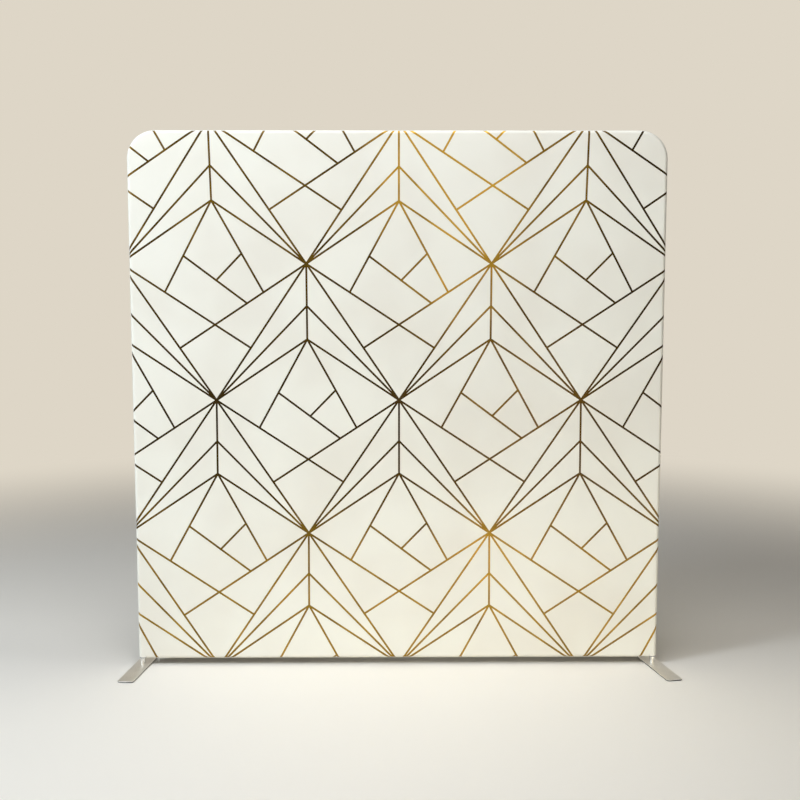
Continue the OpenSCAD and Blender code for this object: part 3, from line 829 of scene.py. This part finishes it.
def tapes(settings):
    low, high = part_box("zip_tapes")
    level = (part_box("zip_coils")[1].z + low.z + 0.6 * MM) / 2
    inside = SKIN - 1.0 * MM
    # From under the coil level to the hem, then up round the rail, inside the cover
    section = [Vector((y * MM, level)) for y in (0.65, 2.0, 3.6, 4.95)]
    section += [Vector(p) for p in arc((0, RAIL_Z), inside, math.radians(-64), math.radians(-40), 6)]
    reach = [0.0]
    for p, q in zip(section, section[1:]):
        reach.append(reach[-1] + (q - p).length)
    columns, rows = 60, len(section)
    along = [low.x + (high.x - low.x) * i / columns for i in range(columns + 1)]
    for name, side, cloth in (("front_zip_tape", -1, "front_cover"), ("back_zip_tape", 1, "back_cover")):
        faces = []
        for i in range(columns):
            for here in range(i * rows, (i + 1) * rows - 1):
                faces.append((here, here + rows, here + rows + 1, here + 1)[::side])
        piece = mesh_piece(name, [(x, side * p.x, p.y) for x in along for p in section], faces)
        lay_flat(piece, [(x, r) for x in along for r in reach])
        apply_modifier(piece, "SOLIDIFY", thickness=0.5 * MM, offset=0)
        smooth(piece, 40)
        finish = woven_tape(f"twill woven polyester, {name}", settings.tape)
        finish_piece(piece, finish, ROOT, "zip_tape", "zip_tapes")


def coils(settings):
    """Each row is a wire wound flat, its turns widened into heads where the two rows meet."""
    low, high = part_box("zip_coils")
    finish = grained("nylon coil, drawn and set", settings.coil, 0.38, 0.5 * MM, 0.02 * MM)
    pitch, wire = settings.pitch, settings.wire
    inner, outer = 0.5 * MM, high.y
    half_y, half_z = (outer - inner) / 2 - wire, (high.z - low.z) / 2 - wire
    turns = int((high.x - low.x - 2 * wire) / pitch)
    start = low.x + (high.x - low.x - turns * pitch) / 2
    steps, sides = 10, 5
    for name, side in (("front_zip_coil", -1), ("back_zip_coil", 1)):
        verts = []
        for n in range(steps + 1):
            turn = 2 * math.pi * n / steps
            y, z = math.cos(turn), math.sin(turn)
            head = 1.35 if y < -0.9 else 1.0
            centre = Vector((pitch * n / steps, y * half_y, z * half_z * (1.1 - 0.1 * abs(y))))
            way = Vector((pitch / (2 * math.pi), -z * half_y, y * half_z)).normalized()
            up = Vector((0, y / half_y, z / half_z)).normalized()
            across = way.cross(up) * head
            verts += [centre + up * c + across * s for c, s in arc((0, 0), wire, 0, 2 * math.pi, sides)[:-1]]
        piece = mesh_piece(name, verts, tube_faces(steps, sides))
        apply_modifier(
            piece, "ARRAY", count=turns, use_relative_offset=False, use_constant_offset=True,
            constant_offset_displace=(pitch, 0, 0), use_merge_vertices=True, merge_threshold=0.01 * MM,
        )
        piece.data.transform(Matrix.Translation((start, (inner + outer) / 2, (low.z + high.z) / 2)))
        piece.data.transform(Matrix.Diagonal((1, side, 1, 1)))
        edit(piece)
        bpy.ops.mesh.fill_holes(sides=8)
        outwards(piece)
        smooth(piece, 60)
        finish_piece(piece, finish, ROOT, "zip_coil", "zip_coils")


def stops():
    low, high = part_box("zip_stops")
    finish = drawn_metal("steel stop, pressed", linear("#C7C7C4"), 0.35, 0.1 * MM, (1, 8, 1))
    pieces = []
    for side in (-1, 1):
        ends = sorted((side * high.x, side * (high.x - 2.5 * MM)))
        piece = cube("stop", (ends[0], low.y, low.z), (ends[1], high.y, high.z))
        ease(piece, lambda e: span(e, 0) > 0.5 * MM, 0.7 * MM, 4)
        ease(piece, lambda e: True, 0.12 * MM, 2)
        pieces.append(piece)
    piece = join("zip_end_stops", pieces)
    smooth(piece)
    finish_piece(piece, finish, ROOT, "zip_stop", "zip_stops")


def slider(enamel):
    low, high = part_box("zip_slider")
    x = (low.x + high.x) / 2
    thick, corner, edge, wall = 1.0 * MM, 1.5 * MM, 0.25 * MM, 0.8 * MM
    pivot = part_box("zip_pull")[1].z - 0.7 * MM
    base = pivot + 1.6 * MM
    pieces = [
        rounded_plate("lower", (low.x, low.y, base), (high.x, high.y, base + thick), corner, edge),
        rounded_plate("upper", (low.x, low.y, high.z - thick), high, corner, edge),
    ]
    wedge = cube("wedge", (low.x + 0.8 * MM, -0.4 * MM, base + 0.5 * MM),
                 (low.x + 3.8 * MM, 0.4 * MM, high.z - 0.5 * MM))
    ease(wedge, lambda e: span(e, 2) > MM, 0.2 * MM, 3)
    pieces.append(wedge)
    for side in (-1, 1):
        y = sorted((side * high.y, side * (high.y - wall)))
        lip = cube("lip", (x - 4 * MM, y[0], base + 0.5 * MM), (x + 4 * MM, y[1], base + 2.0 * MM))
        ease(lip, lambda e: min(v.co.z for v in e.verts) > base + 1.9 * MM, 0.2 * MM, 3)
        pieces.append(lip)
    pieces.append(bridge(x, pivot, base + 0.5 * MM))
    piece = join("zip_slider_body", pieces)
    smooth(piece)
    finish_piece(piece, enamel, "zip_slider", "zip_paint", "zip_slider")


def bridge(x, pivot, top):
    """The ear under the slider that the pull's pin turns in."""
    radius, bore = 1.75 * MM, 0.75 * MM
    ear = [(x + radius, top)] + arc((x, pivot), radius, 0, -math.pi, 14) + [(x - radius, top)]
    hole = arc((x, pivot), bore, 0, 2 * math.pi, 20)
    return punched(
        "bridge", (ear, hole), lambda u, v: math.hypot(u - x, v - pivot) > bore - 0.01 * MM,
        lambda u, v: (u, 0, v), 3.2 * MM,
    )


def pull(enamel):
    low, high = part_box("zip_pull")
    x = (low.x + high.x) / 2
    half = (high.y - low.y) / 2
    pivot = high.z - 0.7 * MM
    centre, bore = low.z + half, 1.2 * MM
    gap, sill = 2 * MM, pivot - 3.4 * MM
    tongue = [(half, pivot)] + arc((0, centre), half, 0, -math.pi, 24) + [(-half, pivot)]
    hole = arc((0, centre), bore, 0, 2 * math.pi, 24)
    window = [(-gap, sill), (gap, sill), (gap, pivot), (-gap, pivot)]
    tab = punched(
        "tab", (tongue, hole, window),
        lambda u, v: math.hypot(u, v - centre) > bore - 0.01 * MM and (abs(u) > gap or v < sill),
        lambda u, v: (x, u, v), 1.3 * MM,
    )
    sharp = math.radians(50)
    apply_modifier(tab, "BEVEL", width=0.25 * MM, segments=2, limit_method="ANGLE", angle_limit=sharp)
    radius, eased = 0.7 * MM, 0.1 * MM
    ends = [(0, -half), (radius - eased, -half), (radius, eased - half)]
    pin = turned("pin", ends + [(r, -z) for r, z in reversed(ends)], 20)
    pin.data.transform(Matrix.Translation((x, 0, pivot)) @ Matrix.Rotation(math.pi / 2, 4, "X"))
    piece = join("zip_pull_tab", [tab, pin])
    smooth(piece)
    finish_piece(piece, enamel, "zip_pull", "zip_paint", "zip_pull")


class BACKWALL_OT_zip(Operator):
    """Make the zip in the bottom hem"""

    bl_idname = "backwall.zip"
    bl_label = "Zip"

    def execute(self, context):
        settings = context.scene.backwall_zip
        tapes(settings)
        coils(settings)
        stops()
        enamel = grained("zinc slider, white enamel", settings.enamel, 0.3, 0.6 * MM, 0.03 * MM)
        slider(enamel)
        pull(enamel)
        return {"FINISHED"}


# ---- Feet


def coat(node, finish):
    """Gives a CAD node's slots that material."""
    piece = NODES[node]
    if not piece.material_slots:
        piece.data.materials.append(finish)
    for held in piece.material_slots:
        held.material = finish


def paint_shaded_sides(steel, top, scale):
    """Paints the plate's sides below the bevel in the near-black scale colour, as painted shade for the
    shadow and dark reflection along them; only the top and the bevel keep the brushed colour.
    """
    add = partial(add_node, steel.node_tree)
    height = add("SeparateXYZ", [add("TexCoord").outputs["Object"]]).outputs["Z"]
    brushed = shader(steel).inputs["Base Color"].links[0].from_socket
    # Painted shade: below the bevel the colour goes over to near black
    tint = stained(add, height, top - 0.1 * MM, top + 0.1 * MM, scale, brushed)
    feed(shader(steel), {"Base Color": tint})


def slab(name, feet, low, high, inset, steps):
    """The plate's outline drawn in by inset, its corners rounded, left in edit mode."""
    half = Vector((feet.width / 2 - inset, feet.depth / 2 - inset))
    piece = cube(name, (-half.x, -half.y, low), (half.x, half.y, high))
    ease(piece, lambda e: span(e, 2) > MM, feet.corner - inset, steps)
    return piece


def plate(name, feet, low, high):
    piece = slab(name, feet, low, high, 0.0, 12)
    ease(piece, lambda e: min(v.co.z for v in e.verts) > high - 0.1 * MM, feet.bevel, 1)
    ease(piece, lambda e: len(e.link_faces) == 2 and e.calc_face_angle(0) > math.radians(30), 0.2 * MM, 2)
    return piece


def sole(name, feet, low, high):
    piece = slab(name, feet, low, high, feet.inset, 10)
    ease(piece, lambda e: max(v.co.z for v in e.verts) < low + 0.1 * MM, 0.4 * MM, 2)
    return piece


def post(name, feet, low, high):
    shoulder = HEM_Z - 1.0 * MM
    outer, pin = feet.post / 2, feet.pin / 2
    foot, edge, tip = 0.3 * MM, 0.8 * MM, 1.5 * MM
    profile = [(0, low), (outer - foot, low), (outer, low + foot)]
    profile += arc((outer - edge, shoulder - edge), edge, 0, math.pi / 2, 4)
    profile += [(pin, shoulder), (pin, high - tip), (pin - tip, high), (0, high)]
    return turned(name, profile, 96)


class BACKWALL_OT_feet(Operator):
    """Make the plates, soles and posts of the two feet"""

    bl_idname = "backwall.feet"
    bl_label = "Feet"

    def execute(self, context):
        feet = context.scene.backwall_feet
        chrome = turned_chrome("chromium plate, turned and polished", feet.chrome)
        rubber = grained("rubber sheet, moulded", feet.rubber, 0.82, 0.5 * MM, 0.1 * MM)
        nylon = grained("nylon washer, moulded", linear("#E9E7DF"), 0.42, 0.4 * MM, 0.03 * MM)
        zinc = grained("zinc plated screw, machined", linear("#B9BDC2"), 0.34, 0.6 * MM, 0.03 * MM, True)
        for side, splay, x in (("left", feet.left_splay, -POST_X), ("right", feet.right_splay, POST_X)):
            steel = drawn_metal(
                f"stainless steel, brushed lengthwise, {side}", feet.steel, 0.44, 0.5 * MM, (1, 60, 1),
                fine=0.3, turn=-splay, anisotropic=0.4,
            )
            # The plate's sides below the bevel get painted shade, near black
            paint_shaded_sides(steel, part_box(f"{side}_foot_plate")[1].z - feet.bevel, feet.scale)
            turn = Matrix.Translation((x, 0, 0)) @ Matrix.Rotation(splay, 4, "Z")
            for part, make, finish, slot in (
                ("plate", plate, steel, "foot_steel"), ("sole", sole, rubber, "sole_rubber"),
                ("post", post, chrome, "post_chrome"),
            ):
                low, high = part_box(f"{side}_foot_{part}")
                piece = make(f"{side}_{part}", feet, low.z, high.z)
                smooth(piece, 30)
                piece.data.transform(turn)
                finish_piece(piece, finish, f"{side}_foot", slot, f"{side}_foot_{part}")
            coat(f"{side}_foot_screw", zinc)
            coat(f"{side}_foot_washer", nylon)
        return {"FINISHED"}


# ---- Tube frame: the CAD nodes keep their shapes and take finishes, and each button gets its own spring

RIGHT, UP = Vector((1, 0, 0)), Vector((0, 0, 1))
# Each snap button: the way it points and the way its tube leads away from the joint
SNAPS = {
    "left_upright": (RIGHT, UP), "right_upright": (-RIGHT, UP),
    "left_corner_side": (RIGHT, -UP), "right_corner_side": (-RIGHT, -UP),
    "left_corner_top": (-UP, RIGHT), "right_corner_top": (-UP, -RIGHT),
    "left_bottom_rail": (UP, RIGHT), "right_bottom_rail": (UP, -RIGHT),
    "top_tee_rail": (-UP, RIGHT), "top_tee_pole": (RIGHT, -UP),
    "bottom_tee_rail": (UP, RIGHT), "bottom_tee_pole": (RIGHT, UP), "pole": (RIGHT, UP),
}
SPRING_R = 10.77 * MM  # outer radius of a spring's bend
SPRING_BACK = 0.4 * MM  # how far a spring lies behind the tube's axis
BUTTON_OUT = 14.2 * MM  # from the tube's axis to the middle of a button


def leaf_spring(name, origin, out, along):
    """The strip behind a snap button, bent to a U inside the tube; origin is on the tube's axis."""
    strip, half, tip, bend, heel = 0.8 * MM, 4 * MM, 6 * MM, -24 * MM, 2 * MM
    piece = cube(name, (SPRING_R - strip, -half, bend), (SPRING_R, half, tip))
    pick(piece, "FACE", lambda f: f.calc_center_median().z < bend + 0.1 * MM)
    bpy.ops.mesh.spin(steps=10, angle=math.pi, center=(0, 0, bend), axis=(0, -1, 0))
    bpy.ops.mesh.extrude_region_move(TRANSFORM_OT_translate={"value": (0, 0, heel - bend)})
    outwards(piece)
    piece.data.transform(basis(out, along, origin - out * SPRING_BACK))
    apply_modifier(piece, "BEVEL", width=0.1 * MM, segments=1, limit_method="ANGLE")
    smooth(piece, 30)
    return piece


def springs(steel):
    """A U-shaped leaf spring behind each snap button, each with a mesh of its own."""
    for name, (out, along) in SNAPS.items():
        low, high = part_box(f"{name}_button")
        origin = (low + high) / 2 - out * BUTTON_OUT
        piece = leaf_spring(f"{name}_spring", origin, out, along)
        finish_piece(piece, steel, ROOT, "spring_steel", "leaf_springs")
        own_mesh(piece)


class BACKWALL_OT_frame(Operator):
    """Finish the tubes, fittings, buttons, springs and rivets"""

    bl_idname = "backwall.frame"
    bl_label = "Tube frame"

    def execute(self, context):
        silver, dull, blued, line = linear("#C9CBCE"), linear("#B7B9BC"), linear("#6C7178"), 0.25 * MM
        upright = drawn_metal("anodised aluminium tube, drawn upright", silver, 0.4, line, (1, 1, 120))
        level = drawn_metal("anodised aluminium tube, drawn level", silver, 0.4, line, (120, 1, 1))
        bent = drawn_metal("anodised aluminium tube, bent", linear("#C7C9CC"), 0.42, line, (6, 1, 6))
        cast = grained("aluminium fitting, cast and tumbled", dull, 0.48, 0.7 * MM, 0.06 * MM, True)
        rivet = grained("aluminium rivet, set", linear("#C2C4C6"), 0.4, 0.5 * MM, 0.03 * MM, True)
        nickel = grained("nickel plated button, polished", linear("#D2D1CC"), 0.2, 0.8 * MM, 0.01 * MM, True)
        for node in NODES:
            for ending, finish in (
                ("upright", upright), ("_pole", upright), ("rail", level), ("corner_tube", bent),
                ("coupler", cast), ("tee", cast), ("button", nickel), ("rivets", rivet),
            ):
                if node.endswith(ending):
                    coat(node, finish)
        springs(drawn_metal("spring steel, rolled and blued", blued, 0.34, 0.2 * MM, (1, 20, 20), 0.15))
        return {"FINISHED"}


# ---- Stage


def room(stage):
    """A round floor that curves up into a wall, which is open from outside and plain to the camera."""
    cove, tall = 1.5, 9.0
    profile = [(0.0, 0.0), (stage.radius / 2, 0.0)]
    profile += arc((stage.radius, cove), cove, -math.pi / 2, 0, 12) + [(stage.radius + cove, tall)]
    room = turned("studio_floor", profile, 96)
    outwards(room, inside=True)
    smooth(room, 40)
    made, add, where = material("studio plaster, painted")
    away = add("VectorMath", [where], operation="LENGTH")
    far = add("MapRange", (away, 2.6, 7.0), **SMOOTH)
    tint = stained(add, away, 6.5, 8.5, stage.floor, stage.shade, **SMOOTH)
    dressed(made, tint, 0.8, add("TexNoise", (where, 12.0, 4.0)), 0.05, MM)
    ray = add("LightPath").outputs
    seen = ray["Is Camera Ray"]
    for kind in ("Is Glossy Ray", "Is Transmission Ray"):
        seen = add("Math", (seen, ray[kind]), operation="MAXIMUM")
    share = add("Math", (seen, far), operation="MULTIPLY")
    plain = add("Emission", {"Color": stage.wall, "Strength": 1.0})
    backdrop = add("MixShader", (share, shader(made), plain))
    behind = add("NewGeometry").outputs["Backfacing"]
    mix = add("MixShader", (behind, backdrop, add("BsdfTransparent")))
    feed(made.node_tree.nodes["Material Output"], {"Surface": mix})
    room.data.materials.append(made)


def lamps(stage):
    """Lamps by place, aim, size, spread, power and tint, and a faint sky; the camera sees none of them."""
    for name, where, aim, (width, depth), spread, power, tint in (
        ("key_lamp", (-5.6, -3.4, 4.4), (-0.3, 0.0, 1.0), (2.2, 2.2), 180, stage.key, "#F0F8FF"),
        ("low_lamp", (1.2, -4.4, 0.45), (0.3, 0.0, 0.8), (0.8, 0.8), 180, stage.low, "#FFECCD"),
        ("glow_lamp", (1.2, -4.5, 3.0), (0.8, -0.25, 0.05), (3.2, 0.8), 28, stage.glow, "#FFEFC8"),
        ("top_lamp", (0.0, -3.0, 6.6), (0.0, 0.0, 0.5), (4.0, 4.0), 180, stage.top, "#FFFFFF"),
        ("rim_lamp", (0.0, -0.3, 4.3), (0.0, -0.05, 2.4), (3.2, 0.3), 180, stage.rim, "#FFFFFF"),
        ("rear_lamp", (0.5, 6.4, 0.35), (0.0, 0.0, 2.9), (0.7, 0.7), 54, stage.rear, "#FFFFFF"),
    ):
        data = bpy.data.lights.new(name, "AREA")
        data.shape = "DISK" if width == depth else "RECTANGLE"
        data.size, data.size_y, data.energy = width, depth, power
        data.spread = math.radians(spread)
        data.color = linear(tint)[:3]
        lamp = bpy.data.objects.new(name, data)
        bpy.context.scene.collection.objects.link(lamp)
        lamp.location = where
        lamp.visible_camera = False
        lamp.rotation_euler = (Vector(aim) - Vector(where)).to_track_quat("-Z", "Y").to_euler()
    world = bpy.data.worlds.new("studio")
    bpy.context.scene.world = world
    world.use_nodes = True
    sky = world.node_tree.nodes["Background"]
    feed(sky, {"Color": linear("#FFF3E2"), "Strength": stage.sky})


def camera(scene):
    """A camera fitted to the photo by the panel's four edges."""
    data = bpy.data.cameras.new("photo_camera")
    data.lens, data.sensor_width = 50.0, 36.0
    cam = bpy.data.objects.new("photo_camera", data)
    scene.collection.objects.link(cam)
    pitch, roll, yaw = (math.radians(angle) for angle in (5.923, 0.023, 0.426))
    cam.location = (-0.028, -5.101, 1.783)
    cam.rotation_euler = (math.pi / 2 - pitch, roll, -yaw)
    scene.camera = cam


class BACKWALL_OT_stage(Operator):
    """Set the floor, the wall round it, the lamps and the camera"""

    bl_idname = "backwall.stage"
    bl_label = "Stage"

    def execute(self, context):
        stage = context.scene.backwall_stage
        room(stage)
        lamps(stage)
        camera(context.scene)
        context.scene.view_settings.view_transform = "Standard"
        return {"FINISHED"}


class BACKWALL_PT_panel(Panel):
    bl_label = "Display Backwall"
    bl_space_type = "VIEW_3D"
    bl_region_type = "UI"
    bl_category = "Backwall"

    def draw(self, context):
        for step in STEPS:
            self.layout.operator(step.bl_idname)


SETTINGS = {
    "backwall_cover": CoverSettings,
    "backwall_print": PrintSettings,
    "backwall_zip": ZipSettings,
    "backwall_feet": FootSettings,
    "backwall_stage": StageSettings,
}
STEPS = (
    BACKWALL_OT_cover, BACKWALL_OT_print, BACKWALL_OT_seams, BACKWALL_OT_zip, BACKWALL_OT_feet,
    BACKWALL_OT_frame, BACKWALL_OT_stage,
)


def register():
    for name, group in SETTINGS.items():
        bpy.utils.register_class(group)
        setattr(bpy.types.Scene, name, PointerProperty(type=group))
    for kind in (*STEPS, BACKWALL_PT_panel):
        bpy.utils.register_class(kind)


def unregister():
    for kind in (BACKWALL_PT_panel, *reversed(STEPS)):
        bpy.utils.unregister_class(kind)
    for name, group in reversed(SETTINGS.items()):
        delattr(bpy.types.Scene, name)
        bpy.utils.unregister_class(group)


def main():
    register()
    for step in STEPS:
        area, name = step.bl_idname.split(".")
        if getattr(getattr(bpy.ops, area), name)() != {"FINISHED"}:
            raise RuntimeError(f"{step.bl_label} could not be made")
    deselect()


if __name__ == "__main__":
    main()
